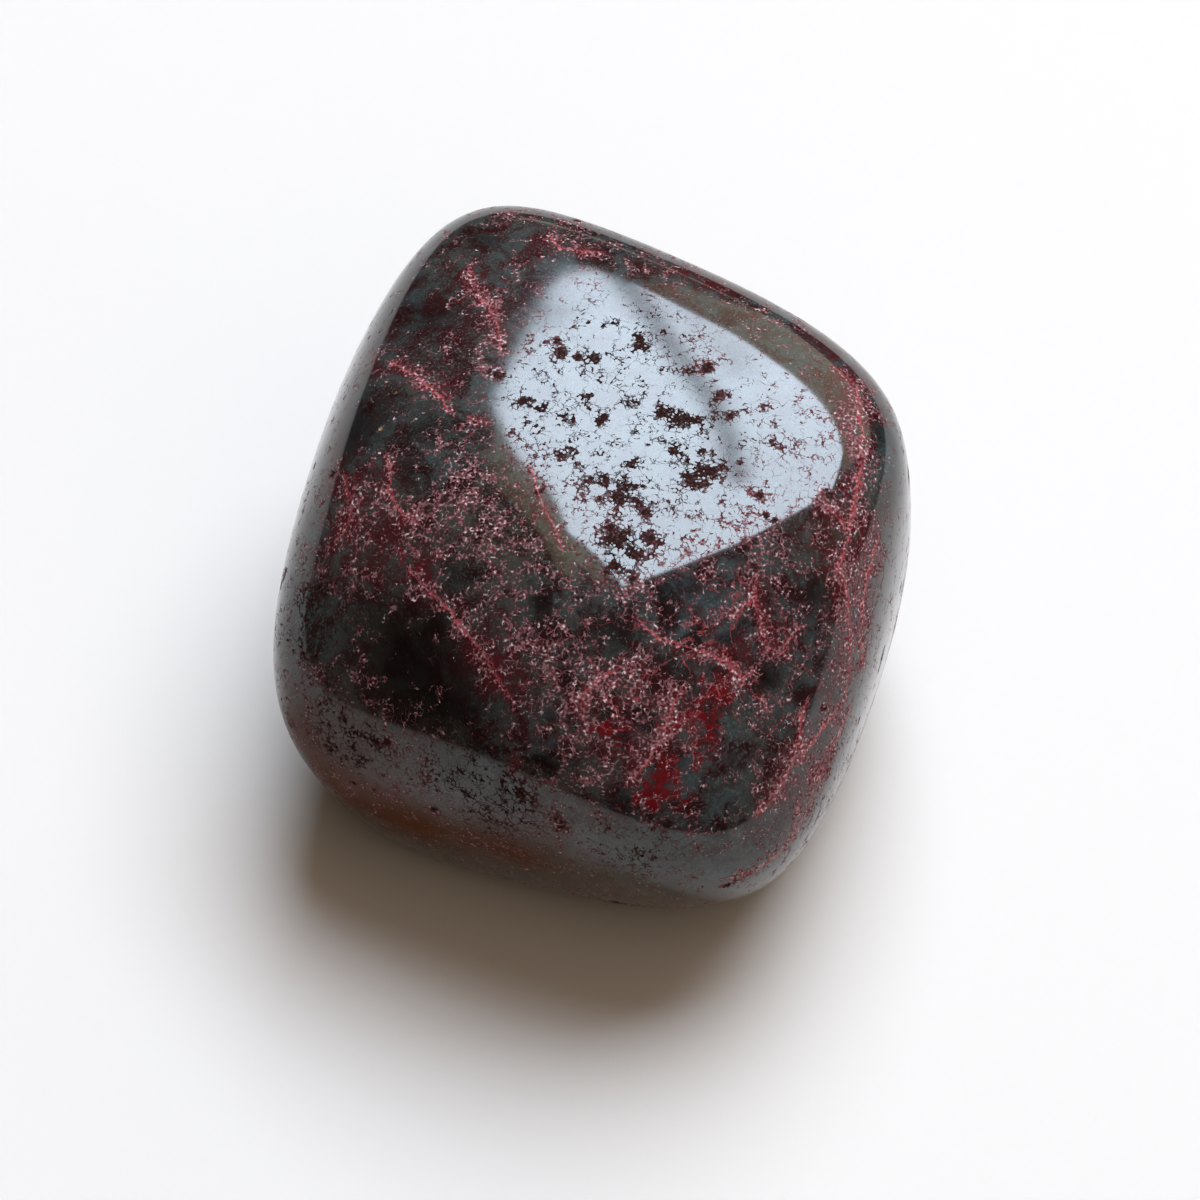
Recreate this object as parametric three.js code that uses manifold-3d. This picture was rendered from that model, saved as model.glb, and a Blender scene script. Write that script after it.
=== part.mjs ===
// A tumble-polished cinnabar stone: one chunk of dark rock veined with red cinnabar,
// its broken faces worn into broad pillows and its edges into wide rounds.
// Millimetres, +Z up. The origin is on the resting face, under the middle of the stone.
import * as THREE from "three";
import { mergeVertices } from "three/addons/utils/BufferGeometryUtils.js";
import Module from "manifold-3d";

// The chunk before tumbling: each broken face by the way it looks and its distance from
// the heart of the stone. Azimuth 0 is +X and 90 is +Y, elevation 90 is +Z, in degrees.
const brokenFaces = {
  top: { azimuth: 100, elevation: 89, distance: 10.0 },
  right: { azimuth: -14, elevation: 0, distance: 13.35 },
  left: { azimuth: 167, elevation: 20, distance: 12.95 },
  back: { azimuth: 62, elevation: 11, distance: 12.75 },
  backLeftCorner: { azimuth: 127, elevation: 11, distance: 16.6 },
  backRightCorner: { azimuth: 32, elevation: 15, distance: 14.8 },
  frontLeftSlope: { azimuth: 230, elevation: 46, distance: 12.3 },
  frontRightSlope: { azimuth: 300, elevation: 44, distance: 13.2 },
  nose: { azimuth: 243, elevation: -3, distance: 15.3 },
  front: { azimuth: 253, elevation: -27, distance: 14.25 },
  frontLeftCorner: { azimuth: 212, elevation: -24, distance: 19.5 },
  frontRightCorner: { azimuth: 296, elevation: -36, distance: 17.3 },
  rightUnderside: { azimuth: 330, elevation: -24, distance: 15.6 },
  leftUnderside: { azimuth: 175, elevation: -20, distance: 13.0 },
  backUnderside: { azimuth: 65, elevation: -42, distance: 13.0 },
  backLeftUnderside: { azimuth: 135, elevation: -38, distance: 14.0 },
  backRightUnderside: { azimuth: 18, elevation: -46, distance: 14.0 },
  bottom: { azimuth: 0, elevation: -90, distance: 10.5 },
};
const edgeSharpness = 8; // 2 would wear the chunk to a ball, and a large value leaves it sharp
const restingCut = 0.3; // how far the stone is worn flat where it rests
const stepsPerSide = 20; // facets along each side of the six-sided grid
const cutterSize = 100; // any size well past the stone's own

const stoneFinish = { color: 0x3a2629, roughness: 0.18, metalness: 0.0 };

// The outward unit normal of a face.
function lookOf({ azimuth, elevation }) {
  const rise = THREE.MathUtils.degToRad(elevation);
  const turn = THREE.MathUtils.degToRad(azimuth);
  const level = new THREE.Vector3(Math.cos(turn), Math.sin(turn), 0);
  return level.multiplyScalar(Math.cos(rise)).setZ(Math.sin(rise));
}

const wornFaces = Object.values(brokenFaces).map((face) => ({
  look: lookOf(face),
  distance: face.distance,
}));

// Distance from the heart to the worn surface along a unit direction. With only the nearest
// face counted this would be the sharp chunk: the power sum lets neighbours share each edge.
function wornRadius(direction) {
  const sum = wornFaces.reduce((total, { look, distance }) => {
    const share = Math.max(direction.dot(look) / distance, 0);
    return total + share ** edgeSharpness;
  }, 0);
  return sum ** (-1 / edgeSharpness);
}

// A box grid, spread evenly over the sphere of directions and pushed out to the worn surface.
function tumbledChunk() {
  const grid = new THREE.BoxGeometry(2, 2, 2, stepsPerSide, stepsPerSide, stepsPerSide);
  grid.deleteAttribute("normal");
  grid.deleteAttribute("uv");
  const chunk = mergeVertices(grid);
  const places = chunk.getAttribute("position");
  const even = (t) => Math.tan((t * Math.PI) / 4);
  const point = new THREE.Vector3();
  for (let i = 0; i < places.count; i++) {
    point.fromBufferAttribute(places, i);
    point.set(even(point.x), even(point.y), even(point.z)).normalize();
    point.multiplyScalar(wornRadius(point));
    places.setXYZ(i, point.x, point.y, point.z);
  }
  return chunk;
}

const wasm = await Module();
wasm.setup();

function solidOf(geometry) {
  return new wasm.Manifold(
    new wasm.Mesh({
      numProp: 3,
      vertProperties: new Float32Array(geometry.getAttribute("position").array),
      triVerts: new Uint32Array(geometry.index.array),
    }),
  );
}

function geometryOf(solid) {
  const { vertProperties, triVerts } = solid.getMesh();
  return new THREE.BufferGeometry()
    .setAttribute("position", new THREE.BufferAttribute(vertProperties, 3))
    .setIndex(new THREE.BufferAttribute(triVerts, 1));
}

// The flat that the stone rests on: everything below it is worn away.
function wornFlatBelow(chunk, height) {
  const block = new THREE.BoxGeometry(cutterSize, cutterSize, cutterSize);
  block.deleteAttribute("normal");
  block.deleteAttribute("uv");
  block.translate(0, 0, height - cutterSize / 2);
  return geometryOf(solidOf(chunk).subtract(solidOf(mergeVertices(block))));
}

// Stands the stone on its flat, with the middle of its box over the origin.
function stoodAtOrigin(geometry) {
  geometry.computeBoundingBox();
  const { min, max } = geometry.boundingBox;
  geometry.translate(-(min.x + max.x) / 2, -(min.y + max.y) / 2, -min.z);
  geometry.computeVertexNormals();
  return geometry;
}

const flatHeight = restingCut - brokenFaces.bottom.distance;
const stone = new THREE.Mesh(
  stoodAtOrigin(wornFlatBelow(tumbledChunk(), flatHeight)),
  new THREE.MeshStandardMaterial(stoneFinish),
);
stone.name = "stone";

const cinnabar = new THREE.Group();
cinnabar.add(stone);

export default cinnabar;
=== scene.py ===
import bpy
import numpy as np
from mathutils import Matrix


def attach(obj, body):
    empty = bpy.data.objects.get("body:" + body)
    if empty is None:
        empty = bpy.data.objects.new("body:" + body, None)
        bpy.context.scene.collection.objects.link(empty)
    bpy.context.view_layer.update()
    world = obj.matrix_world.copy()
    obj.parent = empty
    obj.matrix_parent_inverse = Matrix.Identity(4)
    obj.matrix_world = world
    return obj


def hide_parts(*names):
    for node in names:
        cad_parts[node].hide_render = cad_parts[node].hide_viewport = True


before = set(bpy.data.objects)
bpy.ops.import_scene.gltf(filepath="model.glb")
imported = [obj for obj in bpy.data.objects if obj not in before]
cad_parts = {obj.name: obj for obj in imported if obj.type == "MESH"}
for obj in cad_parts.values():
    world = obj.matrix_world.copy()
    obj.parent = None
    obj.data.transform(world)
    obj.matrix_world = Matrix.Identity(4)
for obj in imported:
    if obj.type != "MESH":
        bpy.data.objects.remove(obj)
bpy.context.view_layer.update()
print("frame loaded:", sorted(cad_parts))

mm = 0.001  # shapes are worked out in millimetres, and Blender's unit is the metre

photoView = {
    "elevation": 52.0,  # degrees above the table
    "lens": 135.0,  # mm, on a 36 mm sensor
    "sensor": 36.0,
    "framePx": 1200,
    "mmPerPx": 0.0427,  # at the heart of the stone
    "heartPx": (592, 566),  # where the heart lies in the picture
    "clipStart": 0.01,  # metres
    "leastFacing": 0.03,  # cosine below which a point counts as out of view
}

stoneForm = {
    # azimuth and elevation in degrees (0 is +X, 90 is +Y), and distance from the heart in mm
    "brokenFaces": {
        "top": (100, 89, 10.0),
        "right": (-14, 0, 13.35),
        "left": (167, 20, 12.95),
        "back": (62, 11, 12.75),
        "backLeftCorner": (127, 11, 16.6),
        "backRightCorner": (32, 15, 14.8),
        "frontLeftSlope": (230, 46, 12.3),
        "frontRightSlope": (300, 44, 13.2),
        "nose": (243, -3, 15.3),
        "front": (253, -27, 14.25),
        "frontLeftCorner": (212, -24, 19.5),
        "frontRightCorner": (296, -36, 17.3),
        "rightUnderside": (330, -24, 15.6),
        "leftUnderside": (175, -20, 13.0),
        "backUnderside": (65, -42, 13.0),
        "backLeftUnderside": (135, -38, 14.0),
        "backRightUnderside": (18, -46, 14.0),
        "bottom": (0, -90, 10.5),
    },
    "edgeSharpness": 8,
    "restingCut": 0.3,  # worn flat this far up from the bottom face
    "rimRound": 0.1,  # softens the rim of that flat
    "stepsPerSide": 128,  # squares along each side of the six grids
    "swells": ((6.0, 0.03, 11), (2.5, 0.008, 12)),  # mm across, mm high, seed
    "baseFade": 1.2,  # swells die out this near the floor
    "pitDepth": 0.03,
    "widePit": 0.24,  # narrower ones only tear the polish
    "pitEdge": (0.5, 0.95),  # how torn the polish is where a dent begins, and where it is full
    "pitRagged": ((0.55, 0.45, 21), (0.26, 0.35, 22)),  # mm across, share of a pit's strength, seed
}


# Unit vectors from an azimuth and an elevation in degrees.
def lookOf(azimuth, elevation):
    turn = np.radians(azimuth)
    rise = np.radians(elevation)
    level = np.cos(rise)
    return np.stack([level * np.cos(turn), level * np.sin(turn), np.sin(rise)], -1)


faceRows = np.array(list(stoneForm["brokenFaces"].values()), float)
faceLooks = lookOf(faceRows[:, 0], faceRows[:, 1])
faceDistances = faceRows[:, 2]


# Worn surface: along a direction, each face counts by its cosine over its distance, to a high
# power, and the radius is the sum to minus one over that power. The highest share wins, softly.
def wornRadius(directions):
    shares = np.maximum(directions @ faceLooks.T / faceDistances, 0)
    sharpness = stoneForm["edgeSharpness"]
    return (shares**sharpness).sum(1) ** (-1 / sharpness)


# Outward normal of that surface: the face normals, weighted by the slope of their shares.
def wornNormal(points):
    shares = np.maximum(points @ faceLooks.T / faceDistances, 0)
    slopes = shares ** (stoneForm["edgeSharpness"] - 1) / faceDistances
    normals = slopes @ faceLooks
    return normals / np.linalg.norm(normals, axis=1, keepdims=True)


# Six square grids, one for each side of a cube, welded along their seams by their whole-number
# places. The tangent spreads the steps evenly in angle before they are drawn in to unit length.
def cubeShell(steps):
    a, b = np.meshgrid(np.arange(steps + 1), np.arange(steps + 1), indexing="ij")
    low = np.zeros_like(a)
    high = np.full_like(a, steps)
    sides = [(high, a, b), (low, b, a), (b, high, a), (a, low, b), (a, b, high), (b, a, low)]
    grids = np.array([np.stack(side, -1) for side in sides])
    lattice, index = np.unique(grids.reshape(-1, 3), axis=0, return_inverse=True)
    index = index.reshape(6, steps + 1, steps + 1)
    corners = [index[:, :-1, :-1], index[:, 1:, :-1], index[:, 1:, 1:], index[:, :-1, 1:]]
    spread = np.tan((2 * lattice / steps - 1) * np.pi / 4)
    directions = spread / np.linalg.norm(spread, axis=1, keepdims=True)
    return directions, np.stack(corners, -1).reshape(-1, 4)


noisePeriod = 32  # cells before a noise repeats


# Value noise from -1 to 1: random numbers on a lattice of one cell, eased between its corners.
def latticeNoise(points, cell, seed):
    table = np.random.default_rng(seed).uniform(-1, 1, [noisePeriod] * 3)
    scaled = points / cell
    low = np.floor(scaled).astype(int)
    part = scaled - low
    ease = part * part * (3 - 2 * part)
    total = np.zeros(len(points))
    for corner in np.ndindex(2, 2, 2):
        x, y, z = ((low + corner) % noisePeriod).T
        total += np.where(corner, ease, 1 - ease).prod(1) * table[x, y, z]
    return total


# Lumps that grow till they meet: one seed at random in each cell of a lattice. Gives how much
# further the second nearest seed is than the nearest, in mm, which is nothing on a lump's wall.
def lumpGap(points, cell, seed):
    table = np.random.default_rng(seed).uniform(0, 1, [noisePeriod] * 3 + [3])
    low = np.floor(points / cell).astype(int)
    first = np.full(len(points), np.inf)
    second = first.copy()
    for step in np.ndindex(3, 3, 3):
        place = low + step - 1
        seeds = place + table[tuple((place % noisePeriod).T)]
        gap = np.linalg.norm(points / cell - seeds, axis=1) * cell
        second = np.minimum(second, np.maximum(first, gap))
        first = np.minimum(first, gap)
    return second - first


directions, quads = cubeShell(stoneForm["stepsPerSide"])
worn = directions * wornRadius(directions)[:, None]
normals = wornNormal(worn)
flatHeight = stoneForm["restingCut"] - stoneForm["brokenFaces"]["bottom"][2]
boxMiddle = (worn.min(0) + worn.max(0)) / 2
heart = np.array([-boxMiddle[0], -boxMiddle[1], -flatHeight])  # in the frame, with the flat at 0
worn = worn + heart
print("worn surface:", len(worn), "points,", 2 * len(quads), "triangles")


# A camera in front of the stone, looking down on it. Its distance is the focal length in pixels
# times the mm that one pixel covers, and it is shifted, not turned, to put the heart at its pixel.
def placeCamera(view):
    rise = np.radians(view["elevation"])
    back = np.array([0.0, -np.cos(rise), np.sin(rise)])
    right = np.array([1.0, 0.0, 0.0])
    up = np.cross(back, right)
    focalPx = view["lens"] / view["sensor"] * view["framePx"]
    offCentre = np.array(view["heartPx"]) - view["framePx"] / 2
    place = heart + back * focalPx * view["mmPerPx"]
    place = place - right * offCentre[0] * view["mmPerPx"] + up * offCentre[1] * view["mmPerPx"]
    lens = bpy.data.cameras.new("photoCamera")
    lens.lens = view["lens"]
    lens.sensor_width = view["sensor"]
    lens.clip_start = view["clipStart"]
    camera = bpy.data.objects.new("photoCamera", lens)
    turn = Matrix(np.column_stack([right, up, back]).tolist()).to_4x4()
    camera.matrix_world = Matrix.Translation((place * mm).tolist()) @ turn
    bpy.context.scene.collection.objects.link(camera)
    bpy.context.scene.camera = camera
    return place, np.stack([right, up, back]), focalPx


cameraPlace, cameraAxes, focalPx = placeCamera(photoView)
sight = cameraPlace - worn
sight = sight / np.linalg.norm(sight, axis=1, keepdims=True)
facingCamera = (normals * sight).sum(1) > photoView["leastFacing"]
inCamera = (worn - cameraPlace) @ cameraAxes.T
picturePx = inCamera[:, :2] / -inCamera[:, 2:] * focalPx * (1, -1) + photoView["framePx"] / 2
print("camera placed")


# The surface points seen at some pixels of the picture: for each, the nearest one in view.
def seenAt(pixels):
    gaps = (picturePx[:, None, :] - np.array(pixels, float)[None]) ** 2
    return worn[np.where(facingCamera[:, None], gaps.sum(2), np.inf).argmin(0)]


# The surface points that lie out from the heart along azimuths and elevations in degrees.
def outAlong(angles):
    looks = lookOf(*np.array(angles, float).T)
    return looks * wornRadius(looks)[:, None] + heart


# Marks on the sides that the picture shows: pixel x and y, radius in mm, strength.
seenMarks = {
    "grain": {
        "underHighlight": (625, 545, 1.3, 0.9),
        "highlightFoot": (640, 590, 1.4, 0.9),
        "leftOfFoot": (575, 590, 1.2, 0.7),
        "leftSlopeUpper": (470, 505, 1.6, 0.75),
        "leftSlopeMiddle": (508, 602, 1.3, 0.75),
        "leftSlopeLower": (430, 535, 1.3, 0.7),
        "leftOfCorner": (445, 432, 0.8, 0.7),
        "cornerDust": (471, 478, 0.9, 0.7),
        "ridgeUpper": (521, 647, 1.1, 0.8),
        "ridgeMiddle": (555, 680, 1.9, 0.85),
        "ridgeLower": (590, 741, 1.5, 0.8),
        "noseTop": (600, 690, 1.4, 0.65),
        "noseRight": (640, 700, 1.8, 0.75),
        "noseUnder": (670, 730, 1.7, 0.7),
        "noseTip": (650, 790, 1.4, 0.25),
        "greyPinkPatch": (727, 682, 0.7, 0.95),
        "slopeRightUpper": (716, 629, 0.9, 0.8),
        "slopeRightTop": (785, 574, 1.1, 0.75),
        "slopeRightEdge": (760, 545, 1.0, 0.75),
        "topRimLeft": (547, 287, 0.6, 0.6),
        "topRimMiddle": (660, 262, 1.3, 0.55),
        "topRimRight": (790, 325, 1.4, 0.55),
        "backLeftBlotch": (484, 296, 0.7, 0.9),
        "leftFaceTop": (375, 352, 0.9, 0.55),
        "leftFace": (365, 450, 1.3, 0.35),
        "leftSlope": (480, 560, 2.2, 0.5),
        "cornerSlope": (455, 465, 1.8, 0.45),
        "backLeft": (450, 330, 1.6, 0.25),
        "topRim": (590, 240, 1.8, 0.55),
        "slopeMiddle": (690, 620, 2.0, 0.8),
        "slopeRight": (790, 650, 1.8, 0.6),
        "rightUpper": (855, 430, 1.6, 0.6),
        "rightMiddle": (868, 550, 1.8, 0.75),
        "frontBandLeft": (420, 755, 2.2, 0.7),
        "frontBandMiddle": (530, 800, 2.4, 0.8),
        "frontBandRight": (640, 845, 2.2, 0.5),
        "leftBandSpecks": (308, 600, 2.4, 0.95),
        "leftBandLower": (325, 700, 2.2, 0.8),
        "rightBand": (855, 640, 2.0, 0.8),
        "rightBandLower": (800, 770, 2.0, 0.75),
        "highlightEdge": (740, 520, 0.9, 0.9),
        "highlightEdgeLower": (692, 546, 0.9, 0.9),
    },
    "stain": {
        "noseRed": (640, 725, 2.6, 0.9),
        "ridgeRed": (490, 670, 2.2, 0.7),
        "leftRed": (405, 560, 1.8, 0.8),
        "leftFaceRed": (360, 500, 1.8, 0.7),
        "leftEdgeRed": (368, 365, 1.6, 0.8),
        "leftEdgeRedLower": (345, 450, 1.6, 0.9),
        "leftBandRed": (342, 530, 1.6, 0.9),
        "cornerRed": (430, 390, 1.0, 0.6),
        "topRimRed": (700, 275, 2.2, 0.7),
        "backLeftRed": (450, 300, 2.2, 0.6),
        "topLeftRed": (520, 240, 2.0, 0.5),
        "topRimRedRight": (830, 360, 1.8, 0.75),
        "rightRed": (860, 560, 2.6, 0.95),
        "rightRedLower": (825, 750, 2.4, 0.95),
        "slopeRightRed": (745, 640, 2.2, 0.7),
        "blackCornerBrown": (365, 655, 1.0, 0.4),
    },
    "deep": {
        "noseLeft": (606, 735, 1.2, 0.8),
        "noseTip": (661, 785, 1.4, 0.9),
        "noseRight": (716, 696, 1.0, 0.9),
        "noseMiddle": (690, 724, 1.3, 0.8),
        "slopeRight": (721, 650, 0.9, 0.65),
        "noseTop": (630, 680, 0.9, 0.5),
        "ridgeFoot": (513, 768, 0.8, 0.7),
        "leftSpot": (410, 565, 1.0, 0.6),
        "leftFace": (390, 470, 0.9, 0.45),
        "rightSide": (852, 560, 0.9, 0.5),
    },
    "dark": {
        "blackCorner": (400, 655, 2.7, 1.0),
        "blackCornerLower": (440, 705, 2.2, 1.0),
        "blackCornerRight": (443, 628, 0.9, 0.9),
        "tealUnderHighlight": (613, 636, 0.95, 0.8),
        "tealSlope": (668, 668, 0.8, 0.75),
        "tealLeft": (540, 610, 0.9, 0.8),
        "greyLeft": (457, 575, 0.8, 0.6),
        "greyUpperLeft": (414, 480, 1.0, 0.5),
        "slopeBlobSmall": (744, 620, 0.55, 0.85),
        "slopeBlob": (771, 673, 0.75, 0.9),
        "slopeBlobUpper": (808, 593, 1.0, 0.8),
        "slopeBlobTop": (668, 597, 0.7, 0.7),
        "noseFootBlob": (545, 762, 0.75, 0.85),
        "rightEdgeBlob": (877, 428, 0.8, 0.7),
        "topLeftTeal": (478, 240, 0.9, 0.6),
        "leftFaceDark": (362, 430, 1.7, 0.8),
        "backLeftDark": (430, 310, 1.7, 0.75),
        "cornerDark": (432, 428, 0.9, 0.7),
        "noseDark": (612, 712, 0.7, 0.8),
        "noseTipDark": (668, 762, 0.7, 0.8),
        "noseTipDarkLeft": (628, 800, 0.8, 0.85),
    },
    "net": {
        "slopeRight": (720, 640, 3.2, 1.0),
        "nose": (640, 700, 2.8, 0.9),
        "noseLeft": (560, 690, 2.0, 0.5),
        "rightBand": (810, 700, 2.2, 0.6),
        "cornerLeft": (420, 400, 1.4, 0.4),
    },
    # painted shade: brown and less glossy along the foot, where the stone mirrors dark brown surroundings
    "paintedFootShade": {
        "frontLeftFoot": (330, 780, 3.0, 0.95),
        "frontFoot": (410, 822, 2.6, 0.95),
        "frontFootRight": (500, 848, 2.4, 0.8),
        "leftFoot": (300, 735, 1.9, 0.75),
        "leftBand": (365, 745, 1.6, 0.3),
        "frontBand": (540, 838, 1.5, 0.35),
    },
    "tan": {
        "streakTop": (400, 385, 0.28, 0.9),
        "streakMiddle": (391, 402, 0.30, 1.0),
        "streakLower": (384, 425, 0.28, 0.9),
        "streakFoot": (380, 440, 0.22, 0.8),
    },
    # painted shade: flecks gather here, and torn grains are drawn dark brown where the polish mirrors
    # bright light
    "fleckAndShade": {
        "highlight": (650, 440, 5.5, 0.9),
        "highlightLeft": (540, 400, 2.6, 0.7),
        "highlightRight": (790, 420, 2.6, 0.35),
        "highlightTop": (620, 330, 3.0, 0.8),
        "highlightFoot": (622, 555, 1.5, 0.8),
        "leftBand": (315, 620, 2.6, 0.9),
        "leftBandFoot": (350, 740, 2.4, 0.9),
        "frontBand": (480, 790, 3.4, 0.9),
        "frontBandRight": (640, 850, 2.8, 0.7),
    },
}

# Marks on the sides that the picture doesn't show: azimuth, elevation, radius in mm, strength.
unseenMarks = {
    "grain": {
        "backLeft": (100, 20, 2.6, 0.8),
        "back": (62, -5, 2.2, 0.7),
        "backRight": (35, 10, 2.0, 0.75),
        "backFoot": (85, -35, 2.4, 0.7),
        "leftFoot": (185, -30, 2.0, 0.6),
        "right": (-8, -10, 2.6, 0.75),
        "rightFront": (-38, -15, 2.2, 0.7),
        "rightFoot": (-30, -40, 2.2, 0.7),
        "frontFoot": (265, -45, 2.4, 0.6),
    },
    "stain": {
        "back": (75, 5, 4.0, 0.8),
        "backRight": (25, -10, 3.2, 0.75),
        "backLeft": (135, -5, 3.2, 0.5),
        "under": (0, -80, 5.0, 0.6),
    },
    "deep": {
        "back": (70, 12, 0.9, 0.9),
        "backRight": (30, -12, 0.8, 0.9),
        "backFoot": (100, -25, 0.9, 0.8),
        "right": (-10, -18, 1.0, 0.8),
        "under": (300, -70, 1.0, 0.8),
    },
    "dark": {
        "backMiddle": (85, -8, 1.6, 0.9),
        "right": (-22, -4, 1.5, 0.8),
        "backLeft": (140, 15, 2.2, 0.9),
        "backRight": (48, 22, 1.3, 0.8),
        "left": (160, -15, 1.8, 0.9),
        "under": (180, -75, 2.4, 0.8),
    },
    "net": {
        "back": (55, 5, 5.0, 0.9),
        "backLeft": (110, -15, 4.0, 0.7),
        "under": (20, -70, 5.0, 0.6),
    },
    # the same painted shade along the foot on the hidden sides
    "paintedFootShade": {
        "leftUnder": (200, -50, 3.0, 0.7),
        "backUnder": (110, -50, 2.6, 0.6),
    },
    "tan": {
        "back": (118, 30, 0.35, 0.9),
        "backFoot": (114, 25, 0.3, 0.9),
    },
    # the same flecks and painted dark brown shade on the hidden sides
    "fleckAndShade": {
        "back": (70, 25, 4.0, 0.7),
        "backLeft": (150, 20, 4.0, 0.7),
        "right": (0, -35, 3.0, 0.6),
        "under": (0, -90, 8.0, 0.7),
    },
}
lumpWalls = {"cell": 1.25, "reach": 0.32, "seed": 71}  # mm: grains gather between the dark lumps
rockClouds = ((4.5, 0.5, 61), (2.1, 0.35, 62))  # olive among the teal: mm across, share, seed
markPush = ((1.4, 0.5, 31), (0.6, 0.18, 34))  # pushes edges about: mm across, mm, seed

# Cinnabar veins in view: pixels that they pass through, and their widths in mm.
seenVeins = {
    "slopeFork": (0.20, (755, 574), (755, 604), (760, 630), (768, 647), (780, 652), (790, 662)),
    "slopeForkLeft": (0.12, (755, 595), (734, 616), (728, 623)),
    "slopeForkRight": (0.14, (780, 652), (792, 634), (806, 625)),
    "slopeLong": (0.15, (631, 616), (652, 632), (679, 643), (698, 652), (725, 660), (744, 680)),
    "slopeLongEnd": (0.16, (755, 666), (744, 680), (734, 691)),
    "slopeHook": (0.13, (753, 694), (764, 701), (767, 714)),
    "noseLong": (0.15, (693, 678), (675, 694), (668, 714), (663, 733), (652, 756), (629, 783)),
    "noseTop": (0.18, (572, 701), (583, 693), (599, 682), (620, 669)),
    "noseTopBranch": (0.12, (601, 690), (615, 706), (618, 727)),
    "ridge": (0.24, (409, 567), (430, 591), (451, 610), (465, 634), (484, 655), (494, 674), (508, 698)),
    "backLeft": (0.22, (467, 263), (473, 287), (488, 307), (497, 324), (499, 350)),
    "corner": (0.20, (384, 361), (410, 372), (427, 387), (440, 398), (453, 413)),
    "cornerEnd": (0.14, (466, 415), (475, 420), (491, 420)),
    "leftFace": (0.20, (386, 456), (388, 491), (401, 513), (414, 521)),
    "leftBand": (0.26, (343, 474), (352, 506), (345, 530), (336, 541)),
    "rightUpper": (0.32, (830, 367), (856, 388), (860, 423), (865, 464), (854, 499), (850, 540)),
    "rightMiddle": (0.30, (850, 540), (841, 568), (847, 600), (849, 636), (849, 669), (845, 692)),
    "rightBranch": (0.16, (818, 493), (833, 512), (848, 531)),
    "rightLower": (0.24, (847, 701), (824, 724), (806, 747), (799, 760)),
    "lowerRight": (0.24, (808, 698), (799, 728), (790, 760), (780, 783), (771, 804), (751, 818)),
    "lowerRightFoot": (0.22, (817, 793), (801, 822), (796, 841)),
    "topRim": (0.20, (549, 231), (560, 248), (604, 255)),
    "highlightLeft": (0.12, (528, 460), (540, 495), (556, 530), (562, 550)),
    "rightOuter": (0.34, (879, 536), (865, 584), (858, 640), (866, 668)),
    "rightOuterLower": (0.34, (852, 700), (838, 735), (826, 765), (812, 795)),
    "rightFoot": (0.30, (797, 805), (790, 838), (760, 868), (728, 880)),
}
# Veins out of view: azimuths and elevations that they pass through, and their widths in mm.
unseenVeins = {
    "backLong": (0.26, (40, 45), (52, 25), (60, 5), (70, -12), (72, -32)),
    "backBranch": (0.20, (60, 5), (80, 12), (98, 8), (112, -6)),
    "backLeftLong": (0.22, (118, 35), (125, 15), (120, -8), (130, -30)),
    "backRightLong": (0.24, (8, 25), (20, 8), (18, -12), (28, -34)),
    "backRightBranch": (0.16, (20, 8), (34, 2), (44, -10)),
    "sideLong": (0.22, (-2, 12), (-10, -6), (-6, -24), (-14, -44)),
    "sideBranch": (0.16, (-10, -6), (-26, -10), (-38, -26)),
    "footCross": (0.20, (300, -50), (320, -64), (10, -72), (60, -60)),
}
veinPath = {
    "step": 0.12,  # mm between points
    "wander": 0.10,  # mm off the straight
    "bend": 0.9,  # mm across one bend
    "seed": 41,
    "unseenFrom": 50,  # added to the seed, so that these wander their own way
    "bandsFrom": 80,
    "endTaper": 0.35,  # share of the width left at its ends
    "taperRise": 6,  # share of the width gained per share of the length
    "reach": 12,  # half widths beyond which a vein isn't felt
}

# Bands where the polish is thinner: width in mm, strength, and pixels that they pass through.
dullBands = {
    "top": (1.25, 0.92, (625, 283), (650, 318), (674, 350), (691, 374), (713, 406), (728, 436), (737, 474)),
    "topSide": (2.4, 0.4, (662, 290), (700, 320), (735, 358)),
}

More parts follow.
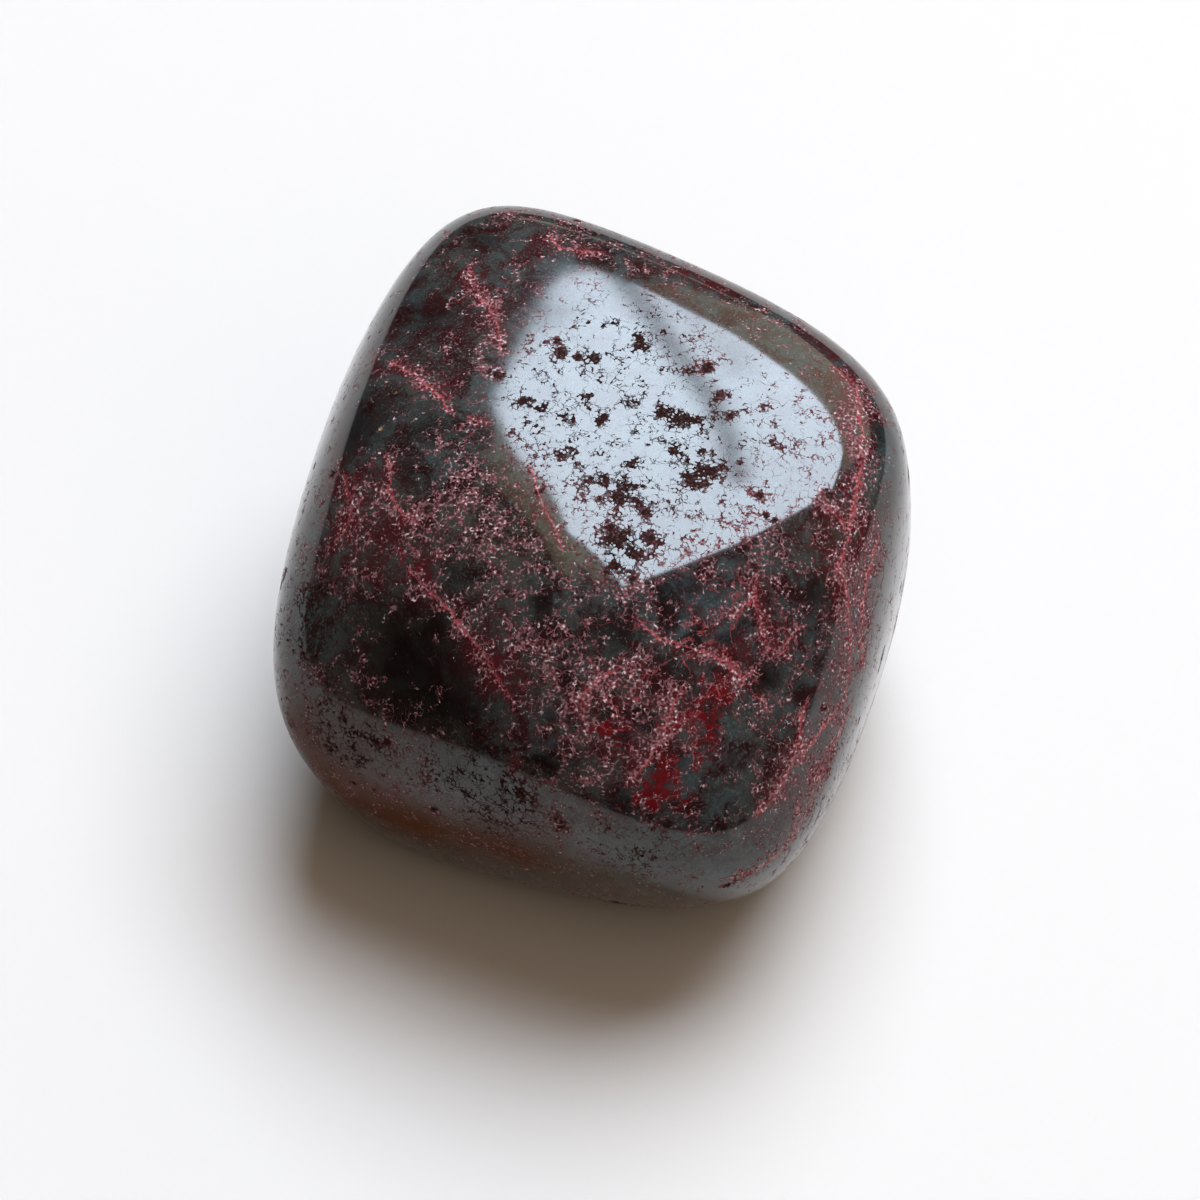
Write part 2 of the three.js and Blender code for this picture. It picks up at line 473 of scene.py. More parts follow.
# Ragged pits that tumbling plucked out of the polish: pixel x and y, radius in mm.
seenPits = {
    "topStreak": (560, 351, 0.40), "topStreakMiddle": (575, 361, 0.48), "topStreakEnd": (590, 370, 0.42),
    "upperSpot": (616, 320, 0.24), "upperSpotLow": (639, 345, 0.30), "upperLine": (585, 322, 0.22),
    "upperLeft": (529, 338, 0.20), "upperLeftLow": (543, 342, 0.18), "leftSpot": (528, 402, 0.26),
    "leftSpotLow": (530, 420, 0.26), "leftEdge": (511, 431, 0.26), "innerLeft": (569, 417, 0.24),
    "innerSmall": (590, 397, 0.22), "innerTeal": (629, 401, 0.22), "middle": (664, 412, 0.45),
    "middleRight": (682, 414, 0.50), "middleEnd": (697, 416, 0.34), "innerLow": (562, 455, 0.32),
    "lowerLeft": (592, 489, 0.56), "lowerLeftFoot": (603, 500, 0.40), "lowerMiddle": (630, 498, 0.62),
    "lowerMiddleTop": (628, 484, 0.30), "lowerMiddleFoot": (642, 512, 0.36), "footLeft": (606, 528, 0.36),
    "foot": (622, 541, 0.38), "footRight": (634, 553, 0.34), "footEdge": (661, 546, 0.36),
    "footTip": (632, 580, 0.30), "footTipLeft": (612, 566, 0.26), "rightCluster": (706, 472, 0.50),
    "rightClusterTop": (714, 453, 0.36), "rightClusterFoot": (700, 486, 0.36),
    "rightClusterEnd": (728, 464, 0.38), "rightSpot": (676, 453, 0.28), "farSpot": (723, 396, 0.28),
    "farSpotLow": (725, 414, 0.30), "farRight": (768, 407, 0.26), "rightFoot": (757, 490, 0.32),
    "rightFootLow": (766, 516, 0.36), "edgeSpot": (777, 444, 0.24), "edgeDot": (797, 444, 0.18),
    "leftVein": (538, 490, 0.24), "bandSpot": (382, 742, 0.34), "bandSpotRight": (520, 790, 0.34),
    "bandSpotFar": (560, 820, 0.40), "leftBandSpot": (320, 672, 0.28), "leftBandUpper": (304, 625, 0.26),
}
scatteredPits = {"count": 130, "radius": (0.14, 0.42), "seed": 51}  # all over the stone
pitParts = {"count": 4, "step": 0.55, "shrink": (0.45, 0.85)}  # each is a few smaller ones


# Distances from every point to every place: the root of both squares less twice their product.
def gapsBetween(points, places):
    squares = (points**2).sum(1)[:, None] + (places**2).sum(1) - 2 * points @ places.T
    return np.sqrt(np.maximum(squares, 0))


# A soft spot for each mark: its strength fades as a bell curve over its radius, and where marks
# overlap, what is left over after one is shared out by the next.
def markField(kind):
    seen = np.array(list(seenMarks[kind].values()), float)
    unseen = np.array(list(unseenMarks[kind].values()), float)
    places = np.concatenate([seenAt(seen[:, :2]), outAlong(unseen[:, :2])])
    rows = np.concatenate([seen, unseen])
    spots = rows[:, 3] * np.exp(-((gapsBetween(pushed, places) / rows[:, 2]) ** 2))
    return 1 - (1 - spots).prod(1)


push = np.zeros_like(worn)
for cell, reach, seed in markPush:
    push += reach * np.stack([latticeNoise(worn, cell, seed + axis) for axis in range(3)], -1)
pushed = worn + push
marks = {kind: markField(kind) for kind in seenMarks}
cloud = sum(share * latticeNoise(worn, cell, seed) for cell, share, seed in rockClouds)
cloud = np.clip(0.5 + cloud, 0, 1)
wall = np.exp(-lumpGap(pushed, lumpWalls["cell"], lumpWalls["seed"]) / lumpWalls["reach"])
print("marks placed:", ", ".join(marks))


# Points along a vein, a step apart, wandering off its straight stretches, with its half width.
def veinTrack(places, width, wander):
    lengths = np.linalg.norm(np.diff(places, axis=0), axis=1)
    reach = np.concatenate([[0], lengths.cumsum()])
    along = np.linspace(0, reach[-1], 1 + int(reach[-1] / veinPath["step"]))
    track = np.stack([np.interp(along, reach, axis) for axis in places.T], -1)
    seed = veinPath["seed"] + wander
    noise = [latticeNoise(track, veinPath["bend"], seed + axis) for axis in range(3)]
    track = track + veinPath["wander"] * np.stack(noise, -1)
    share = along / reach[-1]
    taper = veinPath["endTaper"] + veinPath["taperRise"] * np.minimum(share, 1 - share)
    taper = np.minimum(1, taper)
    return track, width / 2 * taper


# For each surface point, how many half widths it lies from the nearest vein: first with a sign
# for the side that it is on, then without.
def veinFields():
    tracks = []
    for n, (width, *pixels) in enumerate(seenVeins.values()):
        tracks.append(veinTrack(seenAt(pixels), width, n))
    for n, (width, *angles) in enumerate(unseenVeins.values(), veinPath["unseenFrom"]):
        tracks.append(veinTrack(outAlong(angles), width, n))
    near = np.full(len(worn), np.inf)
    side = np.zeros(len(worn))
    for track, halfWidth in tracks:
        gaps = gapsBetween(worn, track)
        pick = gaps.argmin(1)
        gap = gaps[np.arange(len(worn)), pick] / halfWidth[pick]
        heading = np.gradient(track, axis=0)[pick]
        turn = (np.cross(heading, worn - track[pick]) * normals).sum(1)
        side = np.where(gap < near, np.copysign(gap, turn), side)
        near = np.minimum(near, gap)
    return np.clip(side, -veinPath["reach"], veinPath["reach"]), np.minimum(near, veinPath["reach"])


# Thinner polish: across each band its strength fades as a bell curve over half the width.
def dullField():
    clear = np.ones(len(worn))
    for n, (width, strength, *pixels) in enumerate(dullBands.values(), veinPath["bandsFrom"]):
        track = veinTrack(seenAt(pixels), width, n)[0]
        gap = gapsBetween(worn, track).min(1) / (width / 2)
        clear *= 1 - strength * np.exp(-(gap**2))
    return 1 - clear


veinSide, veinNear = veinFields()
dull = dullField()
print("veins traced:", len(seenVeins) + len(unseenVeins))


# How torn the polish is: a bell curve over each pit's radius, and where pits overlap the deepest.
# Given once for all pits, and once for those that are wide enough to be dents in the mesh.
def tornFields():
    rng = np.random.default_rng(scatteredPits["seed"])
    looks = rng.normal(size=(scatteredPits["count"], 3))
    looks /= np.linalg.norm(looks, axis=1, keepdims=True)
    seen = np.array(list(seenPits.values()))
    places = np.concatenate([seenAt(seen[:, :2]), looks * wornRadius(looks)[:, None] + heart])
    spread = rng.uniform(0, 1, scatteredPits["count"]) ** 2
    smallest, largest = scatteredPits["radius"]
    radii = np.concatenate([seen[:, 2], smallest + (largest - smallest) * spread])
    parts, step, shrink = pitParts["count"], pitParts["step"], pitParts["shrink"]
    places = np.repeat(places, parts, axis=0)
    radii = np.repeat(radii, parts)
    places = places + rng.normal(size=places.shape) * step * radii[:, None]
    radii = radii * rng.uniform(*shrink, len(radii))
    bells = np.exp(-((gapsBetween(worn, places) / radii) ** 2))
    return bells.max(1), bells[:, radii > stoneForm["widePit"]].max(1)


# The dents themselves: wide torn places, roughened by two sizes of noise and cut off steeply.
def pitField():
    ragged = sum(share * latticeNoise(worn, cell, seed) for cell, share, seed in stoneForm["pitRagged"])
    begin, full = stoneForm["pitEdge"]
    rise = np.clip((widelyTorn * (1 + ragged) - begin) / (full - begin), 0, 1)
    return rise * rise * (3 - 2 * rise)


torn, widelyTorn = tornFields()
pits = pitField()
print("pits plucked:", len(seenPits) + scatteredPits["count"])


# The finished surface: worn form, plus swells along its normals, less the pits, and then drawn
# up to the resting flat by a smooth maximum.
def finishedSurface():
    above = np.clip((worn[:, 2] - stoneForm["rimRound"]) / stoneForm["baseFade"], 0, 1)
    relief = sum(high * latticeNoise(worn, cell, seed) for cell, high, seed in stoneForm["swells"])
    relief = (relief - stoneForm["pitDepth"] * pits) * above
    points = worn + normals * relief[:, None]
    height = points[:, 2]
    points[:, 2] = (height + np.sqrt(height**2 + stoneForm["rimRound"] ** 2)) / 2
    points[:, 2] -= points[:, 2].min()
    return points


# Puts points in mm, and the rows of corners that its faces join, into a smooth mesh at the origin.
def makeMesh(name, points, faces):
    mesh = bpy.data.meshes.new(name)
    mesh.vertices.add(len(points))
    mesh.loops.add(faces.size)
    mesh.polygons.add(len(faces))
    mesh.vertices.foreach_set("co", (points * mm).astype(np.float32).ravel())
    mesh.loops.foreach_set("vertex_index", faces.astype(np.int32).ravel())
    mesh.polygons.foreach_set("loop_start", np.arange(0, faces.size, faces.shape[1], dtype=np.int32))
    mesh.polygons.foreach_set("use_smooth", np.ones(len(faces), bool))
    mesh.update(calc_edges=True)
    mesh.validate()
    piece = bpy.data.objects.new(name, mesh)
    bpy.context.scene.collection.objects.link(piece)
    return piece


stone = makeMesh("tumbled_stone", finishedSurface(), quads)
tints = {**marks, "torn": torn, "dull": dull, "cloud": cloud, "wall": wall}
tints = {**tints, "veinSide": veinSide, "veinNear": veinNear}
for name, values in tints.items():
    layer = stone.data.attributes.new(name, "FLOAT", "POINT")
    layer.data.foreach_set("value", values.astype(np.float32))
layer = stone.data.attributes.new("push", "FLOAT_VECTOR", "POINT")
layer.data.foreach_set("vector", (push * mm).astype(np.float32).ravel())
print("stone built:", len(stone.data.polygons), "faces")


# An sRGB hex colour as linear light: a straight foot, then a power of 2.4, and full opacity.
def linear(hexColour):
    shares = [int(hexColour[at : at + 2], 16) / 255 for at in (1, 3, 5)]
    return [s / 12.92 if s <= 0.04045 else ((s + 0.055) / 1.055) ** 2.4 for s in shares] + [1.0]


# A texture scale from the size in mm that one cell of the pattern has on the object.
def cellScale(size):
    return 1 / (size * mm)


# Adds one node: its settings, then its inputs, which are constants or the sockets that feed them.
def addNode(tree, kind, settings=None, inputs=None):
    node = tree.nodes.new(kind)
    for name, value in (settings or {}).items():
        setattr(node, name, value)
    for name, value in (inputs or {}).items():
        if isinstance(value, bpy.types.NodeSocket):
            tree.links.new(value, node.inputs[name])
        else:
            node.inputs[name].default_value = value
    return node


stoneFinish = {
    "rockBlack": "#0b0706",
    "rockTeal": "#2d3737",
    "rockOlive": "#302d26",
    # painted glint: the pale speck colour that stands for the sparkle of the sand
    "paintedSandGlint": "#474f4f",
    "stain": "#3e1516",
    "deepRed": "#50090d",
    "grainRed": "#4d2427",
    "grainPink": "#704e4f",
    # painted glint: pale specks on the sugary grains for their sparkle
    "paintedGrainGlint": "#b3a19f",
    "vein": "#8a393c",
    # painted shine: paler specks on the veins
    "veinPaintedShine": "#a96c6c",
    "tan": "#75664a",
    # painted shade along the foot
    "paintedFootShade": "#4a2713",
    # painted shade: the dark brown of torn grains in the pits and under the fleck marks
    "paintedPitShade": "#190d0a",
    "polishRoughness": 0.075,
    "rockRoughness": 0.25,
    "tornRoughness": 0.8,
    "rockIor": 1.55,  # quartz
    "rockGloss": 0.0,  # all the gloss is in the polish
    "polishIor": 1.5,
    # sizes in mm
    "blotchSize": 1.1,
    "lumpSize": 1.9,  # the dark lumps that the hair veins run round
    "clusterSize": 0.62,
    "grainSize": 0.15,
    "laceSize": 0.42,  # cells of the thin lines that join the grains
    "laceWarp": 0.7,  # how far noise pushes those lines about
    "sandSize": 0.11,  # real sand in the rock goes down to 0.02: drawn coarser, to show
    "tornDepth": 0.014,
    "ragged": {"Detail": 3.0, "Roughness": 0.66},  # the larger noises
    "even": {"Detail": 0.0},  # the sand
    # where each pattern begins and ends, and how strong it gets
    "blotchEdge": {"From Min": 0.33, "From Max": 0.64},
    "paintedGlintEdge": {"From Min": 0.56, "From Max": 0.72, "To Max": 0.3},
    "haloEdge": {"From Min": 1.0, "From Max": 7.0, "To Min": 1.0, "To Max": 0.0},  # vein half widths
    "soakEdge": {"From Min": 0.83, "From Max": 0.59, "To Min": 0.1},
    "stainRange": {"To Min": 0.18, "To Max": 1.0},
    "lumpEdge": {"From Min": 0.1, "From Max": 0.5, "To Min": 0.75, "To Max": 0.0},
    "deepEdge": {"From Min": 0.66, "From Max": 0.84, "To Max": 0.9},
    "tanEdge": {"From Min": 0.75, "From Max": 0.95},
    "tearRange": {"To Min": -0.76, "To Max": 0.78},
    "starEdge": {"From Min": 1.09, "From Max": 1.16},
    "lineWidth": {"From Min": 0.18, "From Max": 0.68, "To Max": 0.09},
    "lineEdge": {"From Min": 0.0, "From Max": 0.035, "To Max": 0.85},
    "pinkEdge": {"From Min": 0.36, "From Max": 0.56},
    "grainGlintEdge": {"From Min": 0.65, "From Max": 0.78},
    "pitShadeEdge": {"From Min": 0.2, "From Max": 0.8, "To Max": 0.93},
    "hairEdge": {"From Min": 0.004, "From Max": 0.022, "To Min": 0.6, "To Max": 0.0},
    "hairBreak": {"From Min": 0.42, "From Max": 0.54},
    "fray": {"To Min": -2.4, "To Max": 2.4},
    "fineFray": {"To Min": -1.3, "To Max": 1.3},
    "veinEdge": {"From Min": 0.1, "From Max": 0.95, "To Min": 1.0, "To Max": 0.0},
    "veinGuard": {"From Min": 1.8, "From Max": 3.0, "To Min": 0.85, "To Max": 0.0},
    "veinBreak": {"From Min": 0.4, "From Max": 0.55, "To Min": 0.3},
    "paintedVeinShine": {"From Min": 0.48, "From Max": 0.7},
    # how much each mark counts
    "soakSand": 0.4,
    "haloStain": 0.75,
    "darkShare": 0.93,
    "deepWeight": 0.36,
    "tanWeight": 0.6,
    "tearWeights": {"grain": 0.33, "wall": 0.34, "fleckAndShade": 0.08, "torn": 1.2, "dark": -0.3, "cloud": 0.2},
    "haloTear": 0.3,
    "starWeight": 0.75,
    "polishLoss": {"paintedFootShade": 0.9, "dull": 0.65},
}


# Cinnabar rock, tumbled with ever finer grit to a glassy polish. The dark siliceous rock takes
# the polish and mirrors the room. Cinnabar sits in it as sugary grains, hair veins and deep red
# stains. It is soft, so the polish is torn along the joints between grains: there it is rough
# and pink, with painted shade: dark brown in the pits and where the polish mirrors bright light.
def polishedCinnabar(finish):
    material = bpy.data.materials.new("polishedCinnabar")
    material.use_nodes = True
    tree = material.node_tree
    tree.nodes.clear()
    colour = {name: linear(value) for name, value in finish.items() if str(value).startswith("#")}
    mark = {}
    for name in tints:
        mark[name] = addNode(tree, "ShaderNodeAttribute", {"attribute_name": name}).outputs["Fac"]
    push = addNode(tree, "ShaderNodeAttribute", {"attribute_name": "push"}).outputs["Vector"]
    place = addNode(tree, "ShaderNodeTexCoord").outputs["Object"]
    smooth = {"interpolation_type": "SMOOTHSTEP"}
    unclamped = {"clamp": False}
    rgba = {"data_type": "RGBA"}  # a Mix node's colours go in at 6 and 7, and come out at 2
    times = {"operation": "MULTIPLY"}
    timesPlus = {"operation": "MULTIPLY_ADD"}
    plus = {"operation": "ADD"}
    most = {"operation": "MAXIMUM"}

    # the patterns that everything below is cut from
    sand = addNode(tree, "ShaderNodeTexNoise", {}, {
        "Vector": place, "Scale": cellScale(finish["sandSize"]), **finish["even"]}).outputs["Fac"]
    clusterNoise = addNode(tree, "ShaderNodeTexNoise", {}, {
        "Vector": place, "Scale": cellScale(finish["clusterSize"]), **finish["ragged"]})
    cluster = clusterNoise.outputs["Fac"]
    warped = addNode(tree, "ShaderNodeVectorMath", timesPlus, {
        0: clusterNoise.outputs["Color"], 1: [finish["laceWarp"] * mm] * 3, 2: place}).outputs[0]
    pushed = addNode(tree, "ShaderNodeVectorMath", plus, {0: warped, 1: push}).outputs[0]
    blotch = addNode(tree, "ShaderNodeTexNoise", {}, {
        "Vector": pushed, "Scale": cellScale(finish["blotchSize"]), **finish["ragged"]}).outputs["Fac"]
    grain = addNode(tree, "ShaderNodeTexVoronoi", {"feature": "F1"}, {
        "Vector": place, "Scale": cellScale(finish["grainSize"])}).outputs["Distance"]
    lace = addNode(tree, "ShaderNodeTexVoronoi", {"feature": "DISTANCE_TO_EDGE"}, {
        "Vector": warped, "Scale": cellScale(finish["laceSize"])}).outputs["Distance"]
    lump = addNode(tree, "ShaderNodeTexVoronoi", {"feature": "DISTANCE_TO_EDGE"}, {
        "Vector": pushed, "Scale": cellScale(finish["lumpSize"])}).outputs["Distance"]

    # dark rock: black to teal blotches, olive clouds, and a painted glint: pale specks on the sand for its
    # sparkle
    pale = addNode(tree, "ShaderNodeMix", rgba, {
        0: mark["cloud"], 6: colour["rockTeal"], 7: colour["rockOlive"]})
    blotchShare = addNode(tree, "ShaderNodeMapRange", smooth, {"Value": blotch, **finish["blotchEdge"]})
    blotched = addNode(tree, "ShaderNodeMix", rgba, {
        0: blotchShare.outputs[0], 6: colour["rockBlack"], 7: pale.outputs[2]})
    paintedGlint = addNode(tree, "ShaderNodeMapRange", smooth, {"Value": sand, **finish["paintedGlintEdge"]})
    rock = addNode(tree, "ShaderNodeMix", rgba, {
        0: paintedGlint.outputs[0], 6: blotched.outputs[2], 7: colour["paintedSandGlint"]})

    # red stain, soaked unevenly into the rock and round the veins
    halo = addNode(tree, "ShaderNodeMapRange", smooth, {
        "Value": mark["veinNear"], **finish["haloEdge"]}).outputs[0]
    soakSum = addNode(tree, "ShaderNodeMath", timesPlus, {0: sand, 1: finish["soakSand"], 2: blotch})
    soak = addNode(tree, "ShaderNodeMapRange", smooth, {
        "Value": soakSum.outputs[0], **finish["soakEdge"]})
    stainMark = addNode(tree, "ShaderNodeMapRange", {}, {"Value": mark["stain"], **finish["stainRange"]})
    stainSum = addNode(tree, "ShaderNodeMath", timesPlus, {
        0: halo, 1: finish["haloStain"], 2: stainMark.outputs[0]})
    stainShare = addNode(tree, "ShaderNodeMath", times, {0: soak.outputs[0], 1: stainSum.outputs[0]})
    stained = addNode(tree, "ShaderNodeMix", rgba, {
        0: stainShare.outputs[0], 6: rock.outputs[2], 7: colour["stain"]})

    # black lumps, painted shade along the foot (brown), deep red, and a tan streak of another mineral
    lumpDark = addNode(tree, "ShaderNodeMapRange", smooth, {"Value": mark["wall"], **finish["lumpEdge"]})
    lumpShare = addNode(tree, "ShaderNodeMath", times, {0: lumpDark.outputs[0], 1: mark["net"]})
    darkShare = addNode(tree, "ShaderNodeMath", times, {0: mark["dark"], 1: finish["darkShare"]})
    darkest = addNode(tree, "ShaderNodeMath", most, {0: darkShare.outputs[0], 1: lumpShare.outputs[0]})
    darkened = addNode(tree, "ShaderNodeMix", rgba, {
        0: darkest.outputs[0], 6: stained.outputs[2], 7: colour["rockBlack"]})
    footShaded = addNode(tree, "ShaderNodeMix", rgba, {
        0: mark["paintedFootShade"], 6: darkened.outputs[2], 7: colour["paintedFootShade"]})
    deepSum = addNode(tree, "ShaderNodeMath", timesPlus, {
        0: mark["deep"], 1: finish["deepWeight"], 2: cluster})
    deepShare = addNode(tree, "ShaderNodeMapRange", smooth, {
        "Value": deepSum.outputs[0], **finish["deepEdge"]})
    reddened = addNode(tree, "ShaderNodeMix", rgba, {
        0: deepShare.outputs[0], 6: footShaded.outputs[2], 7: colour["deepRed"]})
    tanSum = addNode(tree, "ShaderNodeMath", timesPlus, {
        0: mark["tan"], 1: finish["tanWeight"], 2: cluster})
    tanShare = addNode(tree, "ShaderNodeMapRange", smooth, {
        "Value": tanSum.outputs[0], **finish["tanEdge"]})
    streaked = addNode(tree, "ShaderNodeMix", rgba, {
        0: tanShare.outputs[0], 6: reddened.outputs[2], 7: colour["tan"]})

    # torn joints between grains: the denser the tearing, the further in from each joint it reaches,
    # as stars where three grains meet, and as thin lines round groups of grains
    density = addNode(tree, "ShaderNodeMapRange", unclamped, {
        "Value": cluster, **finish["tearRange"]}).outputs[0]
    for name, weight in finish["tearWeights"].items():
        density = addNode(tree, "ShaderNodeMath", timesPlus, {
            0: mark[name], 1: weight, 2: density}).outputs[0]
    density = addNode(tree, "ShaderNodeMath", timesPlus, {
        0: halo, 1: finish["haloTear"], 2: density}).outputs[0]
    starSum = addNode(tree, "ShaderNodeMath", timesPlus, {0: density, 1: finish["starWeight"], 2: grain})
    starShare = addNode(tree, "ShaderNodeMapRange", smooth, {
        "Value": starSum.outputs[0], **finish["starEdge"]})
    lineWidth = addNode(tree, "ShaderNodeMapRange", {}, {"Value": density, **finish["lineWidth"]})
    lineInside = addNode(tree, "ShaderNodeMath", {"operation": "SUBTRACT"}, {
        0: lineWidth.outputs[0], 1: lace})
    lineShare = addNode(tree, "ShaderNodeMapRange", smooth, {
        "Value": lineInside.outputs[0], **finish["lineEdge"]})
    tornShare = addNode(tree, "ShaderNodeMath", most, {
        0: starShare.outputs[0], 1: lineShare.outputs[0]}).outputs[0]

    # sugar: red to pink grains, pale specks as a painted glint, painted shade of dark brown in the pits
    pinkShare = addNode(tree, "ShaderNodeMapRange", smooth, {"Value": sand, **finish["pinkEdge"]})
    pink = addNode(tree, "ShaderNodeMix", rgba, {
        0: pinkShare.outputs[0], 6: colour["grainRed"], 7: colour["grainPink"]})
    grainGlintShare = addNode(tree, "ShaderNodeMapRange", smooth, {"Value": sand, **finish["grainGlintEdge"]})
    sugar = addNode(tree, "ShaderNodeMix", rgba, {
        0: grainGlintShare.outputs[0], 6: pink.outputs[2], 7: colour["paintedGrainGlint"]})
    # painted shade: torn grains turn dark brown in the pits and under the fleck marks, where the polish
    # mirrors bright light
    pitShadeMark = addNode(tree, "ShaderNodeMath", most, {0: mark["fleckAndShade"], 1: mark["torn"]})
    pitShadeShare = addNode(tree, "ShaderNodeMapRange", smooth, {
        "Value": pitShadeMark.outputs[0], **finish["pitShadeEdge"]})
    tornTone = addNode(tree, "ShaderNodeMix", rgba, {
        0: pitShadeShare.outputs[0], 6: sugar.outputs[2], 7: colour["paintedPitShade"]})
    sugared = addNode(tree, "ShaderNodeMix", rgba, {
        0: tornShare, 6: streaked.outputs[2], 7: tornTone.outputs[2]})

    # hair veins along the lump walls, broken here and there
    hairShare = addNode(tree, "ShaderNodeMapRange", smooth, {"Value": lump, **finish["hairEdge"]})
    hairBreak = addNode(tree, "ShaderNodeMapRange", smooth, {"Value": cluster, **finish["hairBreak"]})
    hairMark = addNode(tree, "ShaderNodeMath", times, {0: hairShare.outputs[0], 1: mark["net"]})
    hairCover = addNode(tree, "ShaderNodeMath", times, {0: hairMark.outputs[0], 1: hairBreak.outputs[0]})
    haired = addNode(tree, "ShaderNodeMix", rgba, {
        0: hairCover.outputs[0], 6: sugared.outputs[2], 7: colour["vein"]})

    # placed veins, frayed at their edges and faint in places, with paler specks as a painted shine
    fray = addNode(tree, "ShaderNodeMapRange", unclamped, {"Value": cluster, **finish["fray"]})
    fineFray = addNode(tree, "ShaderNodeMapRange", unclamped, {"Value": sand, **finish["fineFray"]})
    frayed = addNode(tree, "ShaderNodeMath", plus, {0: fray.outputs[0], 1: mark["veinSide"]})
    frayed = addNode(tree, "ShaderNodeMath", plus, {0: frayed.outputs[0], 1: fineFray.outputs[0]})
    offVein = addNode(tree, "ShaderNodeMath", {"operation": "ABSOLUTE"}, {0: frayed.outputs[0]})
    veinCore = addNode(tree, "ShaderNodeMapRange", smooth, {
        "Value": offVein.outputs[0], **finish["veinEdge"]})
    veinGuard = addNode(tree, "ShaderNodeMapRange", smooth, {
        "Value": mark["veinNear"], **finish["veinGuard"]})
    veinBreak = addNode(tree, "ShaderNodeMapRange", smooth, {"Value": blotch, **finish["veinBreak"]})
    veinKept = addNode(tree, "ShaderNodeMath", times, {0: veinGuard.outputs[0], 1: veinBreak.outputs[0]})
    veinCover = addNode(tree, "ShaderNodeMath", times, {0: veinCore.outputs[0], 1: veinKept.outputs[0]})
    paintedVeinShine = addNode(tree, "ShaderNodeMapRange", smooth, {"Value": sand, **finish["paintedVeinShine"]})
    veinTone = addNode(tree, "ShaderNodeMix", rgba, {
        0: paintedVeinShine.outputs[0], 6: colour["vein"], 7: colour["veinPaintedShine"]})
    veined = addNode(tree, "ShaderNodeMix", rgba, {
        0: veinCover.outputs[0], 6: haired.outputs[2], 7: veinTone.outputs[2]})

    # gloss: a glassy polish over the rock, gone where it is torn and thinner on the painted foot shade and
    # on dull places
    polish = addNode(tree, "ShaderNodeMath", {"operation": "SUBTRACT"}, {0: 1.0, 1: tornShare})
    for name, loss in finish["polishLoss"].items():
        kept = addNode(tree, "ShaderNodeMath", timesPlus, {0: mark[name], 1: -loss, 2: 1.0})
        polish = addNode(tree, "ShaderNodeMath", times, {0: polish.outputs[0], 1: kept.outputs[0]})
    roughness = addNode(tree, "ShaderNodeMix", {"data_type": "FLOAT"}, {
        0: tornShare, 2: finish["rockRoughness"], 3: finish["tornRoughness"]})

    # relief too fine for the mesh: torn joints lie lower than the polish
    bump = addNode(tree, "ShaderNodeBump", {"invert": True}, {
        "Strength": 1.0, "Distance": finish["tornDepth"] * mm, "Height": tornShare})

    shader = addNode(tree, "ShaderNodeBsdfPrincipled", {}, {
        "Base Color": veined.outputs[2], "Roughness": roughness.outputs[0], "IOR": finish["rockIor"],
        "Specular IOR Level": finish["rockGloss"], "Coat Weight": polish.outputs[0],
        "Coat Roughness": finish["polishRoughness"], "Coat IOR": finish["polishIor"],
        "Normal": bump.outputs[0]})
    addNode(tree, "ShaderNodeOutputMaterial", {}, {"Surface": shader.outputs[0]})
    return material


stone.data.materials.append(polishedCinnabar(stoneFinish))
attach(stone, "root")
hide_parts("stone")
print("stone finished")

studioFloor = {"reach": 2.0, "colour": "#b9b2ac", "roughness": 0.9}  # metres


# Matt white paper: pale, even and without a sheen.
def mattPaper(floor):
    material = bpy.data.materials.new("mattPaper")
    material.use_nodes = True
    shader = material.node_tree.nodes["Principled BSDF"]
    shader.inputs["Base Color"].default_value = linear(floor["colour"])
    shader.inputs["Roughness"].default_value = floor["roughness"]
    shader.inputs["Specular IOR Level"].default_value = 0.0
    return material


# A flat square with the stone over its middle, level with the stone's underside.
def layFloor(floor):
    reach = floor["reach"] / mm
    corners = np.array([(-reach, -reach, 0), (reach, -reach, 0), (reach, reach, 0), (-reach, reach, 0)])
    paper = makeMesh("paper_floor", corners, np.array([[0, 1, 2, 3]]))
    paper.data.materials.append(mattPaper(floor))


layFloor(studioFloor)

# A window behind and above, dim walls and curtains that trim it, and a fill. Along and across
# are measured on the window's plane, turned in it, in metres from its middle.
studioLight = {
    "look": (69.0, 59.0),  # azimuth and elevation
    "turn": 136.0,  # degrees
    "lamps": {
        "window": {"along": -0.025, "across": 0.057, "size": (1.15, 0.746),
                   "colour": "#d8e6f6", "radiance": 17.6},
        "wallFoot": {"along": 0.1, "across": 0.5, "size": (0.7, 0.13),
                     "colour": "#d6cbb0", "radiance": 2.2},
    },
    # level and upright on the same plane before the turn, and depth as a share of its distance
    "screens": {
        "curtain_upper": {"level": 0.584, "upright": -0.257, "turn": -11.0, "size": (0.6, 1.5),
                          "depth": 0.96, "colour": "#2e2a2c", "glow": 0.0},
        "curtain_lower": {"level": 0.716, "upright": 0.057, "turn": 8.0, "size": (0.6, 1.5),
                          "depth": 0.97, "colour": "#2e2a2c", "glow": 0.0},
        "wall_left": {"level": 0.379, "upright": 0.01, "turn": 8.0, "size": (0.14, 1.5),
                      "depth": 0.98, "colour": "#cfc6a6", "glow": 1.5},
        "wall_right": {"level": -0.009, "upright": -0.564, "turn": -24.3, "size": (1.5, 0.6),
                       "depth": 0.98, "colour": "#d6cbb0", "glow": 1.7},
    },
    "fill": {"look": (300.0, 55.0), "depth": 1.2, "size": (1.3, 1.3)},
    "fillColour": "#ffe8d0",
    "fillRadiance": 1.35,
    "room": "#0b0c0e",
}


